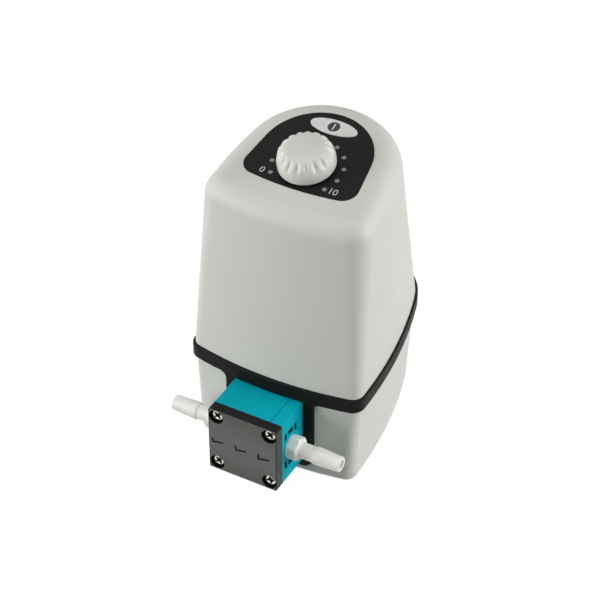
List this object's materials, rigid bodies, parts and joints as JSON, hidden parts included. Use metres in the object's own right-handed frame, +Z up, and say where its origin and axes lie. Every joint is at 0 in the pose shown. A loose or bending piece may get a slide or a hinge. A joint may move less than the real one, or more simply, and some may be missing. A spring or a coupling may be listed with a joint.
{
  "type": "diaphragm liquid pump",
  "caption": "Free-standing laboratory diaphragm liquid pump: tapered two-shell housing, speed knob and power button on a sloping panel, square pump head with hose connectors at the front.",
  "frame": {"origin": "under the middle of the pump, on the surface its feet stand on", "axes": "+Z up, -Y out of the front (the pump head), +X to the right seen from the front"},
  "size_m": [0.1212, 0.1814, 0.218],
  "materials": {
    "housing_plastic": "fine-textured light grey moulding",
    "band_rubber": "black, satin",
    "panel_film": "black, satin, fine grain",
    "key_plastic": "light grey, fine grain",
    "knob_plastic": "light grey, half gloss",
    "head_plastic": "turquoise moulding",
    "plate_plastic": "dark grey, filled, speckled",
    "natural_plastic": "natural white, translucent",
    "elastomer": "black",
    "white_film": "white, smooth",
    "steel": "bright",
    "cast_metal": "die cast",
    "magnet_black": "sintered",
    "winding_wire": "enamelled copper",
    "board_green": "glass epoxy",
    "black_plastic": "black",
    "brass": "nickel-free"
  },
  "bodies": {
    "housing": {"upper_housing": "housing_plastic", "lower_housing": "housing_plastic", "seam_band": "band_rubber", "rubber_feet": "elastomer", "housing_screws": "steel", "control_panel": "panel_film", "power_switch": "black_plastic", "potentiometer": "cast_metal", "potentiometer_nut": "brass", "control_board": "board_green", "control_board_screws": "steel", "pressure_plate": "plate_plastic", "head_body": "head_plastic", "head_screws": "steel", "valve_seals": "elastomer", "hose_connector_left": "natural_plastic", "hose_connector_right": "natural_plastic", "connector_seals": "elastomer", "diaphragm": "white_film", "motor_stator": "steel", "motor_windings": "winding_wire", "motor_can": "cast_metal", "motor_cap": "cast_metal", "motor_bearings": "steel", "motor_screws": "steel", "crankcase": "cast_metal", "pump_bracket": "steel", "bracket_screws": "steel", "vibration_mounts": "elastomer", "power_inlet": "black_plastic", "inlet_pins": "brass", "power_board": "board_green", "power_board_screws": "steel", "power_transformer": "black_plastic", "power_capacitors": "cast_metal"},
    "crank": {"motor_shaft": "steel", "motor_rotor": "magnet_black", "eccentric": "steel"},
    "rod": {"connecting_rod": "cast_metal", "rod_bearing": "steel", "diaphragm_clamp": "natural_plastic"},
    "inlet_flap": {"inlet_valve": "elastomer"},
    "outlet_flap": {"outlet_valve": "elastomer"},
    "knob": {"speed_knob": "knob_plastic", "potentiometer_shaft": "brass"},
    "button": {"power_button": "key_plastic"}
  },
  "joints": [
    {"name": "motor_spin", "type": "hinge", "parent": "housing", "child": "crank", "pos_m": [0, -0.01803, 0.03715], "axis": [0, 0, 1], "continuous": true, "deforming": ["diaphragm"]},
    {"name": "rod_swing", "type": "hinge", "parent": "crank", "child": "rod", "pos_m": [0, -0.02053, 0.03715], "axis": [0, 0, 1], "continuous": true},
    {"name": "inlet_valve_lift", "type": "slide", "parent": "housing", "child": "inlet_flap", "axis": [0, -1, 0], "range_m": [0, 0.0006], "stiffness_N_per_m": 60},
    {"name": "outlet_valve_lift", "type": "slide", "parent": "housing", "child": "outlet_flap", "axis": [0, -1, 0], "range_m": [0, 0.0006], "stiffness_N_per_m": 60},
    {"name": "knob_turn", "type": "hinge", "parent": "housing", "child": "knob", "pos_m": [0, -0.00933, 0.1997], "axis": [0, -0.2368, 0.9715], "range_deg": [-125, 125]},
    {"name": "button_press", "type": "slide", "parent": "housing", "child": "button", "axis": [0, 0.2368, -0.9715], "range_m": [0, 0.0005], "stiffness_N_per_m": 1500}
  ],
  "couplings": [
    {"joint": "rod_swing", "follows": "motor_spin", "ratio": -1}
  ]
}
